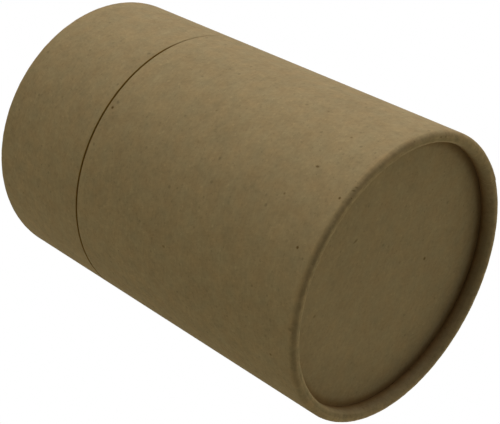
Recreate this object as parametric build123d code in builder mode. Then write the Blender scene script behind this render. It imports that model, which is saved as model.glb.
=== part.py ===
from build123d import *
import os

# A round paper canister that stands on its base. +Z runs up its axis, and the origin is the
# centre of the base, on the surface that it stands on.
# Body and lid are wound tubes of one diameter. Each has one edge rolled inward into a rounded rim
# with a narrow flat on its crest, and a board disc seated on the turned-in edge. A thinner sleeve
# inside the body bears on the lower disc and stands up past the seam as the neck that the lid
# slides down over.

# Driving dimensions, in millimetres
outer_diameter = 83.0
body_height = 85.0
lid_height = 37.45
neck_height = 25.0
seam_gap = 0.25

tube_wall = 1.5
sleeve_wall = 1.0
disc_thickness = 1.5

recess_depth = 4.2
rim_radius = 1.5
lip_chamfer = 0.9
fold_gap = 0.25

sleeve_clearance = 0.25
disc_clearance = 0.1
cut_edge_chamfer = 0.15
mouth_chamfer = 0.3

# Sizes that follow from them
outer_radius = outer_diameter / 2
inner_radius = outer_radius - tube_wall
total_height = body_height + seam_gap + lid_height

turned_in_outer = inner_radius - fold_gap
turned_in_inner = turned_in_outer - tube_wall

disc_radius = inner_radius - disc_clearance
sleeve_outer = inner_radius - sleeve_clearance
sleeve_inner = sleeve_outer - sleeve_wall
sleeve_foot = recess_depth + disc_thickness
neck_top = body_height + neck_height

# The body's sections are drawn upwards from the base, and the lid's downwards from its top
from_base = Plane.XZ
from_top = Plane(origin=(0, 0, total_height), x_dir=(1, 0, 0), z_dir=(0, 1, 0))


def rolled_wall(plane, height):
    """Half-section of a tube wall, with its near edge rolled in and turned back up to the disc."""
    with BuildSketch(plane) as section:
        with BuildLine():
            bend = RadiusArc((outer_radius, rim_radius), (outer_radius - rim_radius, 0), rim_radius)
            Polyline(
                bend @ 1,
                (turned_in_inner + lip_chamfer, 0),
                (turned_in_inner, lip_chamfer),
                (turned_in_inner, recess_depth),
                (turned_in_outer, recess_depth),
                (turned_in_outer, tube_wall),
                (inner_radius, tube_wall),
                (inner_radius, height),
                (outer_radius - cut_edge_chamfer, height),
                (outer_radius, height - cut_edge_chamfer),
                bend @ 0,
            )
        make_face()
    return section.sketch


def seated_disc(plane):
    """Half-section of an end disc that lies on the turned-in edge."""
    with BuildSketch(plane) as section:
        with Locations((0, recess_depth)):
            Rectangle(disc_radius, disc_thickness, align=(Align.MIN, Align.MIN))
    return section.sketch


body_wall_section = rolled_wall(from_base, body_height)
lid_wall_section = rolled_wall(from_top, lid_height)
bottom_disc_section = seated_disc(from_base)
lid_disc_section = seated_disc(from_top)

# Body
with BuildPart() as body_tube:
    revolve(body_wall_section, axis=Axis.Z)

with BuildPart() as bottom_disc:
    revolve(bottom_disc_section, axis=Axis.Z)

with BuildPart() as inner_sleeve:
    with BuildSketch(Plane.XY.offset(sleeve_foot)):
        Circle(sleeve_outer)
        Circle(sleeve_inner, mode=Mode.SUBTRACT)
    extrude(amount=neck_top - sleeve_foot)
    mouth_edges = inner_sleeve.edges().group_by(Axis.Z)[-1]
    chamfer(mouth_edges.sort_by(SortBy.RADIUS)[-1], length=mouth_chamfer)

# Lid
with BuildPart() as lid_tube:
    revolve(lid_wall_section, axis=Axis.Z)

with BuildPart() as lid_disc:
    revolve(lid_disc_section, axis=Axis.Z)

body_tube.part.label = "body_tube"
bottom_disc.part.label = "bottom_disc"
inner_sleeve.part.label = "inner_sleeve"
lid_tube.part.label = "lid_tube"
lid_disc.part.label = "lid_disc"

os.makedirs("parts", exist_ok=True)
export_step(body_tube.part, "parts/body_tube.step")
export_step(bottom_disc.part, "parts/bottom_disc.step")
export_step(inner_sleeve.part, "parts/inner_sleeve.step")
export_step(lid_tube.part, "parts/lid_tube.step")
export_step(lid_disc.part, "parts/lid_disc.step")
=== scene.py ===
import math

import bmesh
import bpy
from mathutils import Matrix, Vector


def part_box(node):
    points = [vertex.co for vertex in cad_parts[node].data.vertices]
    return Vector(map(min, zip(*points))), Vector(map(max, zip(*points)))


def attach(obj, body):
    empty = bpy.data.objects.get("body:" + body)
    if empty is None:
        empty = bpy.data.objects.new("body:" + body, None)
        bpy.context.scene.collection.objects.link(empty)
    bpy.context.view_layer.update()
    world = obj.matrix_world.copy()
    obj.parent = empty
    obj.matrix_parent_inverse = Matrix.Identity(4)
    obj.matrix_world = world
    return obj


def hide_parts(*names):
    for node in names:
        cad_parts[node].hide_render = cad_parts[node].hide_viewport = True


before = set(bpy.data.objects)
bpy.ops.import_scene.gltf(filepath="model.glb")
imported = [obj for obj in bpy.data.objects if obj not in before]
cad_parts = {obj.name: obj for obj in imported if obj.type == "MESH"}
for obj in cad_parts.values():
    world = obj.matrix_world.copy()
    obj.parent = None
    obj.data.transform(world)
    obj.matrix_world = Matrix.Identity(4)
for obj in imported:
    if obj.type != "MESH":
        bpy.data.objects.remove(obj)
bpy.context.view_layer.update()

# The looks of a kraft-paper canister that stands on its base. Every size is in metres, except where
# a comment says millimetres. The tubes are round about the z axis, and an angle is measured about
# it from +X towards +Y.

MM = 0.001

# Sizes read from the frame
body_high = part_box("body_tube")[1]
lid_low, lid_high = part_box("lid_tube")
disc_low, disc_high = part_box("bottom_disc")
sleeve_low, sleeve_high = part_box("inner_sleeve")

OUTER_RADIUS = body_high.x
BODY_TOP = body_high.z
LID_BOTTOM = lid_low.z
LID_TOP = lid_high.z
RECESS = disc_low.z
DISC_RADIUS = disc_high.x
DISC_THICKNESS = disc_high.z - disc_low.z
SLEEVE_RADIUS = sleeve_high.x
SLEEVE_FOOT = sleeve_low.z
NECK_TOP = sleeve_high.z

# Sizes of the sections that a box can't give
TUBE_WALL = 1.5 * MM
SLEEVE_WALL = 1.0 * MM
FOLD_GAP = 0.25 * MM
RIM_RADIUS = 1.5 * MM
LIP_RADIUS = 1.54 * MM
TURNED_EDGE_RADIUS = 0.45 * MM
MOUTH_RADIUS = 0.25 * MM
NECK_EDGE_RADIUS = 0.3 * MM
DISC_EDGE_RADIUS = 0.4 * MM

INNER_RADIUS = OUTER_RADIUS - TUBE_WALL
TURNED_IN_OUTER = INNER_RADIUS - FOLD_GAP
TURNED_IN_INNER = TURNED_IN_OUTER - TUBE_WALL

# The board is wound from plies, whose edges show as lines where it is cut
PLY = 0.375 * MM

# The wrap's outer paper laps over its own start. The lap is raised, and fades out behind its edge.
LAP_THICKNESS = 0.13 * MM
LAP_WIDTH = 9.0 * MM
BODY_LAP_ANGLE = math.radians(27.2)
LID_LAP_ANGLE = math.radians(52.0)

# The lid sits closest to the body at one angle. There its edge comes down by a drop, which dies out
# up its wall, and most of the seam's painted shade is left out. The band is half the width of that
# place round the seam and its fade, in millimetres
TIGHT_ANGLE = math.radians(-22.0)
TIGHT_BAND = (10.0, 12.0)
TIGHT_DROP = 0.19 * MM
TIGHT_HEIGHT = 8.0 * MM
TIGHT_UNSHADED = 0.95

# Small puckers where the paper is drawn in over the rim: waves around it, height and phase. They
# die out up the wall
PUCKERS = ((37, 0.013 * MM, 0.4), (61, 0.010 * MM, 2.1), (97, 0.008 * MM, 4.4), (149, 0.005 * MM, 1.3))
PUCKER_REACH = RIM_RADIUS * 1.5

# Points of the sections: steps of their arcs, and points within their straight runs
EDGE_STEPS = 6
BEND_STEPS = 20
LIP_STEPS = 14
WALL_POINTS = 24
TURNED_IN_POINTS = 8
SLEEVE_POINTS = 20
DISC_POINTS = 16

# Meshes: segments round the axis, the gap at which points are joined, and what is a sharp edge
SEGMENTS = 720
JOINED_WITHIN = 0.0005 * MM
SHARP_ANGLE = math.radians(40)

# The camera, where the photograph's camera stood: below the base, rolled over on its side
CAMERA_PLACE = Vector((0.0, -289.238, -170.171)) * MM
CAMERA_AIM = Vector((-2.633, 0.0, 55.750)) * MM
CAMERA_ROLL = math.radians(-62.09)
CAMERA_LENS = 91.675
SENSOR_WIDTH = 36.0
NEAREST_SEEN = 0.01
FURTHEST_SEEN = 10.0

# Colours, as linear red, green and blue
KRAFT = (0.286, 0.215, 0.120)
WOUND_BOARD = (0.30, 0.235, 0.145)

# What multiplies the paper's colour: painted shade in the crevice round a disc, more painted shade
# where it is deepest, a cut edge that is darker and partly painted shade of the seam, a bark speck,
# a warmer painted shade on the rim's bend and painted shade on its inner lip
CREVICE_SHADE = (0.72, 0.60, 0.48)
DEEPEST_SHADE = (0.80, 0.72, 0.68)
CUT_EDGE_AND_SEAM_SHADE = (0.60, 0.46, 0.20)
BARK_STAIN = (0.38, 0.29, 0.18)
BEND_SHADE_TINT = (1.0, 0.98, 0.95)
LIP_SHADE = (0.84, 0.84, 0.81)

# Where the painted shades, stains and lines lie: half the width of each band and its fade, in
# millimetres
BEND_SHADE_BAND = (0.8, 1.2)
LIP_BAND = (0.3, 0.45)
CREVICE_SHADE_BAND = (0.1, 2.4)
DEEPEST_SHADE_BAND = (0.1, 0.6)
CREST_LIGHT_BAND = (1.0, 1.4)
SEAM_SHADOW_BAND = (0.3, 0.2)
STRIP_BAND = (0.08, 0.22)

# The lip's line, in millimetres: how far past the crest it runs, and where round the rim the lip
# has painted shade, as the middle of the stretch, half its length and its fade
PAST_CREST = 0.55
LIP_SHADE_STRETCH = (165.0, 60.0, 25.0)

# The darker cut edge, which is partly painted shade of the seam: the share of its rounding that it
# covers, and its fade in millimetres
CUT_EDGE_SHARE = 0.7
CUT_EDGE_FADE = 0.25

# Painted shade on the disc grows from one distance to another inside of the turned-in edge, in
# millimetres
SHADE_FROM = 3.0
SHADE_TO = 0.1

# Painted shadow lines along the lap's edge, with a painted highlight between them: how far past it
# and half the width, in millimetres, and the tone. One fade is for all
LAP_SHADOW_AND_HIGHLIGHT_LINES = ((0.1, 0.1, -0.24), (-0.35, 0.12, 0.10), (-0.8, 0.08, -0.16))
LAP_SHADOW_LINE_FADE = 0.1

# Tones of the paper: painted light on the rim's crest where the formation is high, the dark lines
# between plies with half their width, and the sleeve's helical line with how deep it lies, how far
# apart its turns are and how it climbs
CREST_LIGHT_TONE = 0.07
CREST_LIGHT_WHERE = (-0.05, 0.12)
PLY_TONE = -0.28
PLY_LINE = 0.09
STRIP_TONE = -0.22
STRIP_RELIEF = -3.0
STRIP_PITCH = 62.0
STRIP_SLOPE = 0.24

# How strong the pattern is on the walls and on the discs, and how far red, green and blue drift in
# patches of a size in millimetres
WALL_PATTERN = 0.88
DISC_PATTERN = 0.72
HUE_DRIFT = (0.07, -0.04, -0.12)
HUE_PATCH = 4.5

# Gloss and bump
PAPER_SPECULAR = 0.02
PAPER_ROUGHNESS = 0.88
ROUGHNESS_DRIFT = 0.15
BOARD_ROUGHNESS = 0.9
PAPER_BUMP = 0.014 * MM
BOARD_BUMP = 0.03 * MM

# The floor: colour, roughness, its own glow, half its side, and where it turns to plain white
FLOOR_COLOUR = (0.78, 0.79, 0.81)
FLOOR_ROUGHNESS = 0.9
FLOOR_GLOW = 0.38
FLOOR_HALF = 3.0
FLOOR_WHITE_FROM = 0.15
FLOOR_WHITE_TO = 1.2

# Soft studio lights: the way to each one from the canister, its colour and its strength
KEY_WHITE = (1.0, 1.0, 1.0)
FILL_WARM = (1.04, 1.0, 0.76)
STUDIO_LIGHTS = (
    ("key, high on the right", (0.89, 0.0, 0.45), KEY_WHITE, 4.10),
    ("key, its front edge", (0.95, -0.31, 0.0), KEY_WHITE, 1.10),
    ("rear panel", (0.0, 1.0, 0.0), FILL_WARM, 2.70),
    ("rear floor, right", (0.30, 0.86, -0.45), FILL_WARM, 1.64),
    ("rear floor, left", (-0.28, 0.90, -0.36), FILL_WARM, 0.82),
    ("left panel", (-0.95, 0.25, -0.06), FILL_WARM, 1.68),
    ("front, above left", (-0.30, -0.80, 0.53), FILL_WARM, 0.80),
    ("front, above right", (0.33, -0.84, 0.43), FILL_WARM, 1.42),
    ("front floor, right", (0.64, -0.43, -0.64), FILL_WARM, 0.49),
    ("front floor, left", (-0.65, -0.52, -0.56), FILL_WARM, 0.10),
)
LIGHT_SOFTNESS = 10.0

# A small lamp close to the lid, on its left
LID_LAMP_PLACE = Vector((-120.0, -60.0, 160.0)) * MM
LID_LAMP_AIM = Vector((-30.0, -15.0, 95.0)) * MM
LID_LAMP_SIZE = 70.0 * MM
LID_LAMP_POWER = 0.009


# Sections. Each is a closed loop of points (radius, z), or of half of one, from the axis back to it.
def arc(centre, radius, start, end, steps=EDGE_STEPS):
    """Points on an arc of the section, from one angle to another in degrees."""
    turns = [math.radians(start + (end - start) * step / steps) for step in range(steps + 1)]
    return [(centre[0] + radius * math.cos(t), centre[1] + radius * math.sin(t)) for t in turns]


def spaced(start, end, count):
    """Points between two points of the section, without the two."""
    shares = [step / (count + 1) for step in range(1, count + 1)]
    return [tuple(a + (b - a) * share for a, b in zip(start, end)) for share in shares]


def rolled_wall(height):
    """A tube wall on its rolled edge. It gives the points, and how much of the wrap each one carries."""
    mouth = arc((OUTER_RADIUS - MOUTH_RADIUS, height - MOUTH_RADIUS), MOUTH_RADIUS, 90, 0)
    bend = arc((OUTER_RADIUS - RIM_RADIUS, RIM_RADIUS), RIM_RADIUS, 0, -90, steps=BEND_STEPS)
    lip = arc((TURNED_IN_INNER + LIP_RADIUS, LIP_RADIUS), LIP_RADIUS, -90, -180, steps=LIP_STEPS)
    cut_centre = (TURNED_IN_INNER + TURNED_EDGE_RADIUS, RECESS - TURNED_EDGE_RADIUS)
    cut = arc(cut_centre, TURNED_EDGE_RADIUS, 180, 90)
    wall = spaced(mouth[-1], bend[0], WALL_POINTS)
    crest = spaced(bend[-1], lip[0], 1)
    inside = spaced(lip[-1], cut[0], TURNED_IN_POINTS)
    slot = [(TURNED_IN_OUTER, RECESS), (TURNED_IN_OUTER, TUBE_WALL), (INNER_RADIUS, TUBE_WALL)]
    points = mouth + wall + bend + crest + lip + inside + cut + slot + [(INNER_RADIUS, height)]
    outside = len(mouth) + len(wall) + len(bend) + len(crest) + len(lip)
    wrap = [min(1.0, i / (len(mouth) - 1)) for i in range(outside)]
    wrap += [1.0 - (i + 1) / (len(inside) + 1) for i in range(len(inside))]
    return points, wrap + [0.0] * (len(points) - len(wrap))


def sleeve_section():
    """The inner sleeve, with a rounded outer edge at its mouth."""
    edge = arc((SLEEVE_RADIUS - NECK_EDGE_RADIUS, NECK_TOP - NECK_EDGE_RADIUS), NECK_EDGE_RADIUS, 90, 0)
    foot = (SLEEVE_RADIUS, SLEEVE_FOOT)
    inner = SLEEVE_RADIUS - SLEEVE_WALL
    return edge + spaced(edge[-1], foot, SLEEVE_POINTS) + [foot, (inner, SLEEVE_FOOT), (inner, NECK_TOP)]


def disc_section():
    """Half of an end disc, from its middle out over the seen face and back."""
    low = RECESS
    high = RECESS + DISC_THICKNESS
    edge = arc((DISC_RADIUS - DISC_EDGE_RADIUS, low + DISC_EDGE_RADIUS), DISC_EDGE_RADIUS, -90, 0)
    face = spaced((0.0, low), edge[0], DISC_POINTS)
    return [(0.0, low)] + face + edge + [(DISC_RADIUS, high), (0.0, high)]


def lengths_along(section):
    """How far each point lies from the first one, following the closed section."""
    along = [0.0]
    for (r1, z1), (r2, z2) in zip(section, section[1:] + section[:1]):
        along.append(along[-1] + math.hypot(r2 - r1, z2 - z1))
    return along


def along_at(section, r, z):
    """How far along the section, in millimetres, its point nearest to (r, z) lies."""
    gaps = [math.hypot(r - point[0], z - point[1]) for point in section]
    return lengths_along(section)[gaps.index(min(gaps))] / MM


def outward(section):
    """The direction away from the board at each point of a closed section that runs clockwise."""
    ways = []
    for i in range(len(section)):
        (r1, z1), (r2, z2) = section[i - 1], section[(i + 1) % len(section)]
        length = math.hypot(r2 - r1, z2 - z1)
        ways.append(((z1 - z2) / length, (r2 - r1) / length))
    return ways


def smooth(share):
    """The share, kept from zero to one, with a soft start and end."""
    share = max(0.0, min(1.0, share))
    return share * share * (3 - 2 * share)


def wrap_height(turn, rim_share):
    """How far the outer paper stands out, at an angle past the lap's edge, on the wall and on the rim."""
    behind = (2 * math.pi - turn) * OUTER_RADIUS
    height = LAP_THICKNESS * (1.0 - smooth(behind / LAP_WIDTH))
    for waves, size, phase in PUCKERS:
        height += rim_share * size * math.sin(waves * turn + phase)
    return height


def settling(angle, below_edge):
    """How far the lid's wall comes down at an angle, and at a depth from its cut edge."""
    apart = abs((angle - TIGHT_ANGLE + math.pi) % (2 * math.pi) - math.pi) * OUTER_RADIUS / MM
    half, fade = TIGHT_BAND
    near = 1.0 - smooth((apart - half) / fade)
    return TIGHT_DROP * near * (1.0 - smooth(below_edge / TIGHT_HEIGHT))


def lathe(name, section, wrap=None, lap_angle=0.0, flipped_at=None):
    """A closed ring: the section turned about the z axis from the lap's angle right round to it.

    The UV map "paper" holds the way around and the way along the section, both in metres.
    flipped_at is the height from which the section is measured downwards.
    """
    made = bmesh.new()
    along = lengths_along(section)
    ways = outward(section)
    rings = []
    for number in range(SEGMENTS + 1):
        turn = 2 * math.pi * number / SEGMENTS
        ring = []
        for i, (r, z) in enumerate(section):
            if wrap is not None and wrap[i] > 0.0:
                raised = wrap[i] * wrap_height(turn, smooth(1.0 - z / PUCKER_REACH))
                r += raised * ways[i][0]
                z = max(0.0, z + raised * ways[i][1])
            if flipped_at is not None:
                z += settling(lap_angle + turn, section[0][1] - z)
            height = z if flipped_at is None else flipped_at - z
            place = (r * math.cos(lap_angle + turn), r * math.sin(lap_angle + turn), height)
            ring.append(made.verts.new(place))
        rings.append(ring)
    paper = made.loops.layers.uv.new("paper")
    count = len(section)
    for number in range(SEGMENTS + 1):
        last = number == SEGMENTS
        left, right = rings[number], rings[0 if last else number + 1]
        ends = (number, number if last else number + 1)
        around = [2 * math.pi * OUTER_RADIUS * end / SEGMENTS for end in ends]
        for i in range(count):
            j = (i + 1) % count
            corners = [(left[i], around[0], along[i]), (left[j], around[0], along[i + 1]),
                       (right[j], around[1], along[i + 1]), (right[i], around[1], along[i])]
            face = made.faces.new([corner[0] for corner in corners])
            face.smooth = True
            for loop, corner in zip(face.loops, corners):
                loop[paper].uv = corner[1:]
    bmesh.ops.remove_doubles(made, verts=made.verts, dist=JOINED_WITHIN)
    bmesh.ops.recalc_face_normals(made, faces=made.faces)
    return finished(name, made)


def disc(name, flipped_at=None):
    """A round disc, with a fan of faces round the middle of each side. Its UV map is x and y."""
    made = bmesh.new()
    turns = [2 * math.pi * n / SEGMENTS for n in range(SEGMENTS)]
    rings = []
    for r, z in disc_section():
        height = z if flipped_at is None else flipped_at - z
        if r == 0.0:
            rings.append([made.verts.new((0, 0, height))] * SEGMENTS)
        else:
            rings.append([made.verts.new((r * math.cos(t), r * math.sin(t), height)) for t in turns])
    paper = made.loops.layers.uv.new("paper")
    for inner, outer in zip(rings, rings[1:]):
        for n in range(SEGMENTS):
            m = (n + 1) % SEGMENTS
            corners = []
            for vert in (inner[n], outer[n], outer[m], inner[m]):
                if vert not in corners:
                    corners.append(vert)
            face = made.faces.new(corners)
            face.smooth = True
            for loop in face.loops:
                loop[paper].uv = loop.vert.co.xy
    bmesh.ops.recalc_face_normals(made, faces=made.faces)
    return finished(name, made)


def finished(name, made):
    """An object from the mesh, with its sharp edges kept sharp."""
    mesh = bpy.data.meshes.new(name)
    for edge in made.edges:
        if len(edge.link_faces) == 2 and edge.calc_face_angle(0.0) > SHARP_ANGLE:
            edge.smooth = False
    made.to_mesh(mesh)
    made.free()
    piece = bpy.data.objects.new(name, mesh)
    bpy.context.scene.collection.objects.link(piece)
    return piece


# A seed moves a noise or a field of specks by itself along x, and by this share of itself along y
NOISE_SLANT = 0.7
SPECK_SLANT = 1.3

# Fibres: the size of noise for their width, how crooked they are, the reach of a crest line, and
# the patches that hold them: their share of a fibre's length, their seed, where they start and fade
HAIR_SCALE = 4
HAIR_BEND = 0.6
HAIR_LINE = 0.05
HAIR_PATCH = 0.5
HAIR_SEED = 5.3
HAIR_FROM = 0.05
HAIR_FADE = 0.08

# Specks: the smallest as a share of the largest, and where their edges start and end
SMALLEST_SPECK = 0.4
SPECK_EDGE = (0.5, 1.2)
SPOT_EDGE = (0.4, 1.3)


# Materials
class Paper:
    """Nodes of one paper material, with the UV map "paper" in millimetres as its place."""

    def __init__(self, name):
        self.material = bpy.data.materials.new(name)
        self.material.use_nodes = True
        self.tree = self.material.node_tree
        self.shader = self.tree.nodes["Principled BSDF"]
        self.shader.inputs["Specular IOR Level"].default_value = PAPER_SPECULAR
        source = self.tree.nodes.new("ShaderNodeUVMap")
        source.uv_map = "paper"
        self.place = self.mapped(source.outputs["UV"], scale=(1 / MM, 1 / MM, 1.0))
        split = self.tree.nodes.new("ShaderNodeSeparateXYZ")
        self.tree.links.new(self.place, split.inputs[0])
        self.around = split.outputs["X"]
        self.along = split.outputs["Y"]

    def link(self, value, socket):
        if isinstance(value, (int, float)):
            socket.default_value = value
        else:
            self.tree.links.new(value, socket)

    def mapped(self, place, scale=(1.0, 1.0, 1.0), move=(0.0, 0.0, 0.0), turn=0.0):
        node = self.tree.nodes.new("ShaderNodeMapping")
        node.inputs["Location"].default_value = move
        node.inputs["Rotation"].default_value = (0.0, 0.0, math.radians(turn))
        node.inputs["Scale"].default_value = scale
        self.tree.links.new(place, node.inputs["Vector"])
        return node.outputs["Vector"]

    def math(self, operation, first, second=0.0, third=0.0):
        node = self.tree.nodes.new("ShaderNodeMath")
        node.operation = operation
        for value, socket in zip((first, second, third), node.inputs):
            self.link(value, socket)
        return node.outputs[0]

    def ramp(self, value, low, high, out_low=0.0, out_high=1.0):
        """The value's way from low to high, smoothed, as a way from out_low to out_high."""
        node = self.tree.nodes.new("ShaderNodeMapRange")
        node.interpolation_type = "SMOOTHSTEP"
        for number, amount in enumerate((value, low, high, out_low, out_high)):
            self.link(amount, node.inputs[number])
        return node.outputs[0]

    def band(self, value, middle, half, soft):
        """One within half of the middle, and zero a soft width further out."""
        away = self.math("ABSOLUTE", self.math("SUBTRACT", value, middle))
        return self.ramp(away, half, half + soft, 1.0, 0.0)

    def noise(self, size, detail=2.0, seed=0.0, stretch=1.0, turn=0.0, bend=0.0):
        """Noise about zero. size is its grain in millimetres, and stretch makes streaks of it."""
        place = self.mapped(self.place, turn=turn)
        scale = (1 / (size * stretch), 1 / size, 1.0)
        place = self.mapped(place, scale=scale, move=(seed, seed * NOISE_SLANT, 0.0))
        node = self.tree.nodes.new("ShaderNodeTexNoise")
        node.noise_dimensions = "2D"
        self.link(1.0, node.inputs["Scale"])
        self.link(detail, node.inputs["Detail"])
        self.link(bend, node.inputs["Distortion"])
        self.tree.links.new(place, node.inputs["Vector"])
        return self.math("SUBTRACT", node.outputs[0], 0.5)

    def hairs(self, length, width, seed, turn):
        """Thin crooked fibres: the crest lines of stretched noise, kept where a second noise allows."""
        size = width * HAIR_SCALE
        waves = self.noise(size, 0.0, seed, stretch=length / size, turn=turn, bend=HAIR_BEND)
        thin = self.ramp(self.math("ABSOLUTE", waves), 0.0, HAIR_LINE, 1.0, 0.0)
        patches = self.noise(length * HAIR_PATCH, 1.0, seed + HAIR_SEED)
        where = self.ramp(patches, HAIR_FROM, HAIR_FROM + HAIR_FADE)
        return self.math("MULTIPLY", thin, where)

    def specks(self, spacing, radius, seed, rarity):
        """Small round specks, one to a cell, in the share of the cells that rarity leaves."""
        node = self.tree.nodes.new("ShaderNodeTexVoronoi")
        node.voronoi_dimensions = "2D"
        self.link(1.0, node.inputs["Scale"])
        scale = (1 / spacing, 1 / spacing, 1.0)
        place = self.mapped(self.place, scale=scale, move=(seed, seed * SPECK_SLANT, 0.0))
        self.tree.links.new(place, node.inputs["Vector"])
        split = self.tree.nodes.new("ShaderNodeSeparateColor")
        self.tree.links.new(node.outputs["Color"], split.inputs[0])
        smallest = SMALLEST_SPECK * radius / spacing
        size = self.math("MULTIPLY_ADD", split.outputs["Green"], radius / spacing, smallest)
        away = self.math("DIVIDE", node.outputs["Distance"], size)
        near = self.ramp(away, *SPECK_EDGE, 1.0, 0.0)
        chosen = self.math("GREATER_THAN", split.outputs["Red"], rarity)
        return self.math("MULTIPLY", near, chosen)

    def spot(self, place, radius, length=None, turn=0.0):
        """One speck at a place in millimetres on the UV map. With a length it is a short dash."""
        centred = self.mapped(self.place, move=(-place[0], -place[1], 0.0))
        squeezed = self.mapped(centred, turn=turn)
        squeezed = self.mapped(squeezed, scale=(radius / (length or radius), 1.0, 1.0))
        measure = self.tree.nodes.new("ShaderNodeVectorMath")
        measure.operation = "LENGTH"
        self.tree.links.new(squeezed, measure.inputs[0])
        inner, outer = SPOT_EDGE
        return self.ramp(measure.outputs["Value"], radius * inner, radius * outer, 1.0, 0.0)

    def total(self, terms):
        """One, plus each value times its amount."""
        result = 1.0
        for value, amount in terms:
            result = self.math("MULTIPLY_ADD", value, amount, result)
        return result

    def vector(self, operation, first, second):
        node = self.tree.nodes.new("ShaderNodeVectorMath")
        node.operation = operation
        self.tree.links.new(first, node.inputs[0])
        self.tree.links.new(second, node.inputs["Scale" if operation == "SCALE" else 1])
        return node.outputs[0]

    def tint(self):
        """A slow drift of the hue between redder and yellower paper."""
        hue = self.noise(HUE_PATCH, detail=1.0, seed=41.0)
        mixed = self.tree.nodes.new("ShaderNodeCombineXYZ")
        for drift, socket in zip(HUE_DRIFT, mixed.inputs):
            self.link(self.math("MULTIPLY_ADD", hue, drift, 1.0), socket)
        return mixed.outputs[0]

    def plain(self, colour):
        node = self.tree.nodes.new("ShaderNodeRGB")
        node.outputs[0].default_value = (*colour, 1)
        return node.outputs[0]

    def colours(self, first, second, share):
        """The first colour where the share is zero, and the second where it is one."""
        node = self.tree.nodes.new("ShaderNodeMix")
        node.data_type = "RGBA"
        self.link(share, node.inputs[0])
        node.inputs[6].default_value = (*first, 1)
        node.inputs[7].default_value = (*second, 1)
        return node.outputs[2]

    def darkened(self, colour, darker, share):
        """The colour, multiplied by a darker colour where the share is one: real stains and painted
        shade.
        """
        node = self.tree.nodes.new("ShaderNodeMix")
        node.data_type = "RGBA"
        node.blend_type = "MULTIPLY"
        self.link(share, node.inputs[0])
        self.tree.links.new(colour, node.inputs[6])
        node.inputs[7].default_value = (*darker, 1)
        return node.outputs[2]

    def finish(self, colour, tone, height, depth, roughness):
        """Colour times tone, bump from the height in metres of depth, and the roughness."""
        toned = self.vector("SCALE", self.vector("MULTIPLY", colour, self.tint()), tone)
        self.tree.links.new(toned, self.shader.inputs["Base Color"])
        bump = self.tree.nodes.new("ShaderNodeBump")
        bump.inputs["Strength"].default_value = 1.0
        bump.inputs["Distance"].default_value = depth
        self.link(height, bump.inputs["Height"])
        self.tree.links.new(bump.outputs[0], self.shader.inputs["Normal"])
        self.link(roughness, self.shader.inputs["Roughness"])
        return self.material


def kraft_pattern(paper, lively):
    """What all the kraft paper has: clouds, formation, grain, crossing fibres, fibre ends and specks."""
    grain = paper.noise(size=1.15, detail=0.5, seed=1.0)
    formation = paper.noise(size=2.4, detail=1.5, seed=7.0)
    long_fibres = paper.noise(size=0.55, detail=0.5, seed=3.0, stretch=4.0, turn=8.0, bend=0.5)
    cross_fibres = paper.noise(size=0.55, detail=0.5, seed=13.0, stretch=4.0, turn=-62.0, bend=0.5)
    terms = [
        (paper.noise(size=14.0, detail=1.0, seed=19.0), 0.15 * lively),
        (paper.noise(size=5.0, detail=1.0, seed=37.0), 0.20 * lively),
        (formation, 0.21 * lively),
        (grain, 0.155 * lively),
        (long_fibres, 0.11 * lively),
        (cross_fibres, 0.10 * lively),
        (paper.hairs(length=1.9, width=0.24, seed=23.0, turn=20.0), -0.16 * lively),
        (paper.hairs(length=1.6, width=0.24, seed=29.0, turn=-48.0), -0.14 * lively),
        (paper.hairs(length=2.2, width=0.22, seed=31.0, turn=75.0), 0.12 * lively),
        (paper.specks(spacing=2.9, radius=0.34, seed=3.7, rarity=0.70), -0.13 * lively),
        (paper.specks(spacing=6.3, radius=0.38, seed=8.9, rarity=0.75), -0.24 * lively),
        (paper.specks(spacing=3.7, radius=0.34, seed=5.9, rarity=0.72), 0.12 * lively),
    ]
    relief = paper.math("MULTIPLY_ADD", formation, 0.8, grain)
    relief = paper.math("MULTIPLY_ADD", long_fibres, 0.8, relief)
    return terms, relief, formation


def around_from(start, angle):
    """How far round its wall, in millimetres, a piece that starts at one angle reaches another."""
    return (angle - start) % (2 * math.pi) * OUTER_RADIUS / MM


def off_tight_side(paper, start_angle):
    """One away from the place where the lid sits closest, and close to zero there."""
    tightest = around_from(start_angle, TIGHT_ANGLE)
    tight_side = paper.band(paper.around, tightest, *TIGHT_BAND)
    return paper.math("MULTIPLY_ADD", tight_side, -TIGHT_UNSHADED, 1.0)


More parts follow.
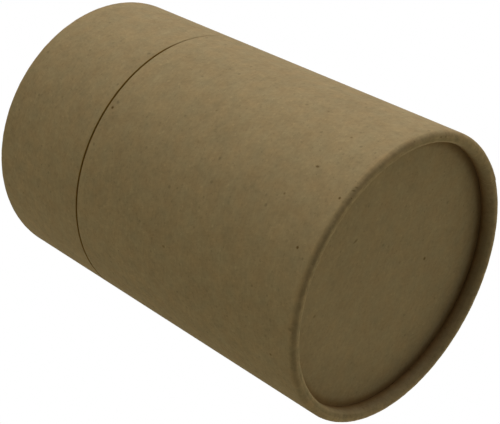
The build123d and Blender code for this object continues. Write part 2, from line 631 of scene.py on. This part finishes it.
def kraft_wall(name, section, height, lap_angle, spots):
    """The paper of a rolled tube, outside, over its rim and on its raw edges and inner board."""
    paper = Paper(name)
    terms, relief, formation = kraft_pattern(paper, WALL_PATTERN)
    mouth = along_at(section, OUTER_RADIUS, height - MOUTH_RADIUS)
    crest = along_at(section, OUTER_RADIUS - RIM_RADIUS, 0.0)
    turned_edge = along_at(section, TURNED_IN_INNER, RECESS - TURNED_EDGE_RADIUS)
    slot = along_at(section, TURNED_IN_OUTER, RECESS)
    end_face = along_at(section, INNER_RADIUS, height)
    board = paper.math("GREATER_THAN", paper.along, slot)
    colour = paper.colours(KRAFT, WOUND_BOARD, board)
    for angle, up, radius, amount, *shape in spots:
        around = around_from(lap_angle, math.radians(angle))
        speck = paper.spot((around, mouth + (height - MOUTH_RADIUS) / MM - up), radius, *shape)
        colour = paper.darkened(colour, BARK_STAIN, paper.math("MULTIPLY", speck, amount))
    bend = crest - RIM_RADIUS / MM * math.pi / 4
    lip = along_at(section, TURNED_IN_INNER + LIP_RADIUS, 0.0) + PAST_CREST
    lip_line = paper.band(paper.along, lip, *LIP_BAND)
    # Painted shade on the inner lip, over one stretch of the rim
    lip_shade = paper.math("MULTIPLY", lip_line, paper.band(paper.around, *LIP_SHADE_STRETCH))
    # The cut edge is darker, partly as painted shade of the seam, which is mostly left out where the lid
    # sits tight
    cut_edge_and_seam_shade = paper.band(paper.along, 0.0, mouth * CUT_EDGE_SHARE, CUT_EDGE_FADE)
    cut_edge_and_seam_shade = paper.math("MULTIPLY", cut_edge_and_seam_shade, off_tight_side(paper, lap_angle))
    shades_and_edge_stain = (
        # A warmer painted shade on the rim's bend
        (BEND_SHADE_TINT, paper.band(paper.along, bend, *BEND_SHADE_BAND)),
        (LIP_SHADE, lip_shade),
        (CUT_EDGE_AND_SEAM_SHADE, cut_edge_and_seam_shade),
        # Painted shade in the crevice round the disc, and more painted shade where it is deepest
        (CREVICE_SHADE, paper.band(paper.along, turned_edge, *CREVICE_SHADE_BAND)),
        (DEEPEST_SHADE, paper.band(paper.along, turned_edge, *DEEPEST_SHADE_BAND)),
    )
    for darker, share in shades_and_edge_stain:
        colour = paper.darkened(colour, darker, share)
    # Painted light: the crest is made lighter where the formation is high
    on_crest = paper.band(paper.along, crest, *CREST_LIGHT_BAND)
    crest_light = paper.math("MULTIPLY", on_crest, paper.ramp(formation, *CREST_LIGHT_WHERE))
    plies = paper.ramp(paper.math("PINGPONG", paper.along, PLY / MM / 2), 0.0, PLY_LINE, 1.0, 0.0)
    cut = paper.math("GREATER_THAN", paper.along, end_face)
    terms.append((crest_light, CREST_LIGHT_TONE))
    # Painted shadow lines and a painted highlight along the lap's edge
    for away, half, amount in LAP_SHADOW_AND_HIGHLIGHT_LINES:
        place = away % (2 * math.pi * OUTER_RADIUS / MM)
        terms.append((paper.band(paper.around, place, half, LAP_SHADOW_LINE_FADE), amount))
    terms.append((paper.math("MULTIPLY", cut, plies), PLY_TONE))
    roughness = paper.math("MULTIPLY_ADD", formation, ROUGHNESS_DRIFT, PAPER_ROUGHNESS)
    return paper.finish(colour, paper.total(terms), relief, PAPER_BUMP, roughness)


def kraft_disc(name, spots):
    """The paper of an end disc, with painted shade where it goes down into the rim."""
    paper = Paper(name)
    terms, relief, formation = kraft_pattern(paper, DISC_PATTERN)
    colour = paper.plain(KRAFT)
    for x, y, radius, amount, *shape in spots:
        speck = paper.spot((x, y), radius, *shape)
        colour = paper.darkened(colour, BARK_STAIN, paper.math("MULTIPLY", speck, amount))
    middle = paper.tree.nodes.new("ShaderNodeVectorMath")
    middle.operation = "LENGTH"
    paper.tree.links.new(paper.place, middle.inputs[0])
    rim = TURNED_IN_INNER / MM
    # Painted shade on the disc, growing towards the turned-in edge
    disc_shade = paper.ramp(middle.outputs["Value"], rim - SHADE_FROM, rim - SHADE_TO)
    colour = paper.darkened(colour, CREVICE_SHADE, disc_shade)
    roughness = paper.math("MULTIPLY_ADD", formation, ROUGHNESS_DRIFT, PAPER_ROUGHNESS)
    return paper.finish(colour, paper.total(terms), relief, PAPER_BUMP, roughness)


def wound_board(name, section):
    """Plain board wound in strips: kraft fibres, a fine helical line where two strips meet, and a painted
    shadow where the lid's seam lies.
    """
    paper = Paper(name)
    climb = paper.math("MULTIPLY_ADD", paper.around, STRIP_SLOPE, paper.along)
    strip = paper.math("FLOORED_MODULO", climb, STRIP_PITCH)
    from_line = paper.math("SUBTRACT", strip, STRIP_PITCH / 2)
    joint = paper.band(from_line, 0.0, *STRIP_BAND)
    grain = paper.noise(size=0.5, detail=2.0, seed=2.0)
    formation = paper.noise(size=1.8, detail=3.0, seed=9.0)
    fibres = paper.noise(size=0.32, detail=2.0, seed=4.0, stretch=7.0, turn=-25.0, bend=0.4)
    terms = [
        (paper.noise(size=16.0, detail=2.0, seed=17.0), 0.14),
        (formation, 0.26),
        (grain, 0.24),
        (fibres, 0.24),
        (paper.hairs(length=2.0, width=0.13, seed=33.0, turn=40.0), -0.12),
        (paper.specks(spacing=2.9, radius=0.22, seed=6.7, rarity=0.7), -0.16),
        (joint, STRIP_TONE),
    ]
    relief = paper.math("MULTIPLY_ADD", joint, STRIP_RELIEF, paper.math("ADD", grain, formation))
    neck_edge = along_at(section, SLEEVE_RADIUS, NECK_TOP - NECK_EDGE_RADIUS)
    in_seam = neck_edge + (NECK_TOP - BODY_TOP) / MM - NECK_EDGE_RADIUS / MM
    # Painted shadow of the seam on the sleeve, mostly left out where the lid sits tight
    seam_shadow = paper.band(paper.along, in_seam, *SEAM_SHADOW_BAND)
    seam_shadow = paper.math("MULTIPLY", seam_shadow, off_tight_side(paper, 0.0))
    colour = paper.darkened(paper.plain(WOUND_BOARD), CUT_EDGE_AND_SEAM_SHADE, seam_shadow)
    return paper.finish(colour, paper.total(terms), relief, BOARD_BUMP, BOARD_ROUGHNESS)


# Specks that the photograph shows. On the wall: angle in degrees and height, radius and depth of
# tone. On the disc: x and y instead. Lengths are in millimetres. A dash has a length and a turn too.
BODY_SPECKS = (
    (-82.43, 83.25, 0.48, 0.95),
    (-68.47, 13.6, 0.38, 0.72, 0.55, 90.0),
    (-75.17, 2.4, 0.40, 0.85),
    (-51.77, 12.89, 0.36, 0.50),
    (-96.14, 5.8, 0.42, 0.90),
    (-138.92, 7.92, 0.40, 0.70),
    (-82.15, 16.83, 0.36, 0.55),
    (-44.26, 25.66, 0.34, 0.35),
    (-65.56, 51.82, 0.34, 0.35),
    (-120.29, 47.97, 0.38, 0.50, 0.6, 90.0),
    (-70.6, 0.63, 0.22, 0.6, 0.5, -60.0),
    (-69.1, 0.56, 0.22, 0.5, 0.45, -60.0),
    (-73.1, -0.16, 0.24, 0.5),
    (-39.1, 0.16, 0.22, 0.4),
    (-24.2, -0.8, 0.26, 0.55, 0.5, 0.0),
    (-21.4, -0.8, 0.26, 0.45, 0.4, 0.0),
)
DISC_SPECKS = (
    (8.23, 11.37, 0.52, 0.80),
    (3.38, -22.59, 0.34, 0.50, 0.95, -30.0),
    (-17.9, -23.3, 0.42, 0.42, 0.50, -30.0),
    (6.31, -7.74, 0.42, 0.20),
    (4.05, 0.81, 0.48, 0.18),
)

# Pieces
body_section, body_wrap = rolled_wall(BODY_TOP)
body = lathe("body_wall", body_section, body_wrap, BODY_LAP_ANGLE)
body.data.materials.append(kraft_wall("body_kraft", body_section, BODY_TOP, BODY_LAP_ANGLE, BODY_SPECKS))
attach(body, "tube")
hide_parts("body_tube")

lid_height = LID_TOP - LID_BOTTOM
lid_section, lid_wrap = rolled_wall(lid_height)
lid = lathe("lid_wall", lid_section, lid_wrap, LID_LAP_ANGLE, flipped_at=LID_TOP)
lid.data.materials.append(kraft_wall("lid_kraft", lid_section, lid_height, LID_LAP_ANGLE, ()))
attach(lid, "lid")
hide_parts("lid_tube")

neck_section = sleeve_section()
sleeve = lathe("neck_sleeve", neck_section)
sleeve.data.materials.append(wound_board("sleeve_board", neck_section))
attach(sleeve, "tube")
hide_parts("inner_sleeve")

base_disc = disc("base_disc")
base_disc.data.materials.append(kraft_disc("base_disc_kraft", DISC_SPECKS))
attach(base_disc, "tube")
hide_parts("bottom_disc")

top_disc = disc("top_disc", flipped_at=LID_TOP)
top_disc.data.materials.append(kraft_disc("top_disc_kraft", ()))
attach(top_disc, "lid")
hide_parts("lid_disc")

# Camera
camera = bpy.data.objects.new("camera", bpy.data.cameras.new("camera"))
bpy.context.scene.collection.objects.link(camera)
upright = (CAMERA_AIM - CAMERA_PLACE).to_track_quat("-Z", "Y").to_matrix()
rolled = upright @ Matrix.Rotation(CAMERA_ROLL, 3, "Z")
camera.matrix_world = Matrix.Translation(CAMERA_PLACE) @ rolled.to_4x4()
camera.data.sensor_fit = "HORIZONTAL"
camera.data.sensor_width = SENSOR_WIDTH
camera.data.lens = CAMERA_LENS
camera.data.clip_start = NEAREST_SEEN
camera.data.clip_end = FURTHEST_SEEN
bpy.context.scene.camera = camera
bpy.context.scene.view_settings.view_transform = "Standard"


# Studio
def seen_directly(tree):
    """One for a ray from the camera, a gloss or a clear surface, and zero for light on the object."""
    rays = tree.nodes.new("ShaderNodeLightPath")
    seen = rays.outputs["Is Camera Ray"]
    for kind in ("Is Glossy Ray", "Is Transmission Ray"):
        largest = tree.nodes.new("ShaderNodeMath")
        largest.operation = "MAXIMUM"
        tree.links.new(seen, largest.inputs[0])
        tree.links.new(rays.outputs[kind], largest.inputs[1])
        seen = largest.outputs[0]
    return seen


def studio_world():
    """Soft lights all round as glows in the world, with a plain white background."""
    world = bpy.data.worlds.new("studio")
    world.use_nodes = True
    tree = world.node_tree
    tree.nodes.clear()
    way = tree.nodes.new("ShaderNodeTexCoord").outputs["Generated"]
    light = None
    for label, direction, colour, strength in STUDIO_LIGHTS:
        dot = tree.nodes.new("ShaderNodeVectorMath")
        dot.operation = "DOT_PRODUCT"
        dot.label = label
        dot.inputs[1].default_value = Vector(direction).normalized()
        tree.links.new(way, dot.inputs[0])
        fall = tree.nodes.new("ShaderNodeMath")
        fall.operation = "MULTIPLY_ADD"
        fall.inputs[1].default_value = LIGHT_SOFTNESS
        fall.inputs[2].default_value = -LIGHT_SOFTNESS
        tree.links.new(dot.outputs["Value"], fall.inputs[0])
        glow = tree.nodes.new("ShaderNodeMath")
        glow.operation = "EXPONENT"
        tree.links.new(fall.outputs[0], glow.inputs[0])
        scaled = tree.nodes.new("ShaderNodeVectorMath")
        scaled.operation = "SCALE"
        scaled.inputs[0].default_value = Vector(colour) * strength
        tree.links.new(glow.outputs[0], scaled.inputs["Scale"])
        if light is None:
            light = scaled.outputs[0]
        else:
            added = tree.nodes.new("ShaderNodeVectorMath")
            added.operation = "ADD"
            tree.links.new(light, added.inputs[0])
            tree.links.new(scaled.outputs[0], added.inputs[1])
            light = added.outputs[0]
    lit = tree.nodes.new("ShaderNodeBackground")
    tree.links.new(light, lit.inputs["Color"])
    white = tree.nodes.new("ShaderNodeBackground")
    white.inputs["Color"].default_value = (1, 1, 1, 1)
    mix = tree.nodes.new("ShaderNodeMixShader")
    out = tree.nodes.new("ShaderNodeOutputWorld")
    tree.links.new(seen_directly(tree), mix.inputs[0])
    tree.links.new(lit.outputs[0], mix.inputs[1])
    tree.links.new(white.outputs[0], mix.inputs[2])
    tree.links.new(mix.outputs[0], out.inputs["Surface"])
    bpy.context.scene.world = world


def studio_floor():
    """A pale floor, seen from above only, because the photograph's camera looks up from below it.

    It turns to the background's white away from the canister, so that no horizon shows.
    """
    mesh = bpy.data.meshes.new("floor")
    half = FLOOR_HALF
    corners = [(-half, -half, 0), (half, -half, 0), (half, half, 0), (-half, half, 0)]
    mesh.from_pydata(corners, [], [(0, 1, 2, 3)])
    floor = bpy.data.objects.new("floor", mesh)
    bpy.context.scene.collection.objects.link(floor)
    material = bpy.data.materials.new("floor_paint")
    material.use_nodes = True
    tree = material.node_tree
    paint = tree.nodes["Principled BSDF"]
    paint.inputs["Base Color"].default_value = (*FLOOR_COLOUR, 1)
    paint.inputs["Roughness"].default_value = FLOOR_ROUGHNESS
    paint.inputs["Specular IOR Level"].default_value = 0.0
    paint.inputs["Emission Color"].default_value = (1, 1, 1, 1)
    paint.inputs["Emission Strength"].default_value = FLOOR_GLOW
    clear = tree.nodes.new("ShaderNodeBsdfTransparent")
    side = tree.nodes.new("ShaderNodeNewGeometry")
    white = tree.nodes.new("ShaderNodeEmission")
    away = tree.nodes.new("ShaderNodeVectorMath")
    away.operation = "LENGTH"
    tree.links.new(side.outputs["Position"], away.inputs[0])
    share = tree.nodes.new("ShaderNodeMapRange")
    share.interpolation_type = "SMOOTHSTEP"
    share.inputs["From Min"].default_value = FLOOR_WHITE_FROM
    share.inputs["From Max"].default_value = FLOOR_WHITE_TO
    tree.links.new(away.outputs["Value"], share.inputs["Value"])
    faded = tree.nodes.new("ShaderNodeMixShader")
    tree.links.new(share.outputs[0], faded.inputs[0])
    tree.links.new(paint.outputs[0], faded.inputs[1])
    tree.links.new(white.outputs[0], faded.inputs[2])
    mix = tree.nodes.new("ShaderNodeMixShader")
    tree.links.new(side.outputs["Backfacing"], mix.inputs[0])
    tree.links.new(faded.outputs[0], mix.inputs[1])
    tree.links.new(clear.outputs[0], mix.inputs[2])
    tree.links.new(mix.outputs[0], tree.nodes["Material Output"].inputs["Surface"])
    mesh.materials.append(material)
    floor.visible_diffuse = False
    floor.visible_glossy = False
    floor.visible_transmission = False
    floor.visible_shadow = False


def lid_lamp():
    """A soft lamp that is near enough to light the lid more than the body."""
    light = bpy.data.lights.new("lid_lamp", "AREA")
    light.shape = "DISK"
    light.size = LID_LAMP_SIZE
    light.energy = LID_LAMP_POWER
    lamp = bpy.data.objects.new("lid_lamp", light)
    bpy.context.scene.collection.objects.link(lamp)
    turned = (LID_LAMP_AIM - LID_LAMP_PLACE).to_track_quat("-Z", "Y").to_matrix().to_4x4()
    lamp.matrix_world = Matrix.Translation(LID_LAMP_PLACE) @ turned
    lamp.visible_camera = False
    lamp.visible_glossy = False
    lamp.visible_transmission = False


studio_world()
studio_floor()
lid_lamp()
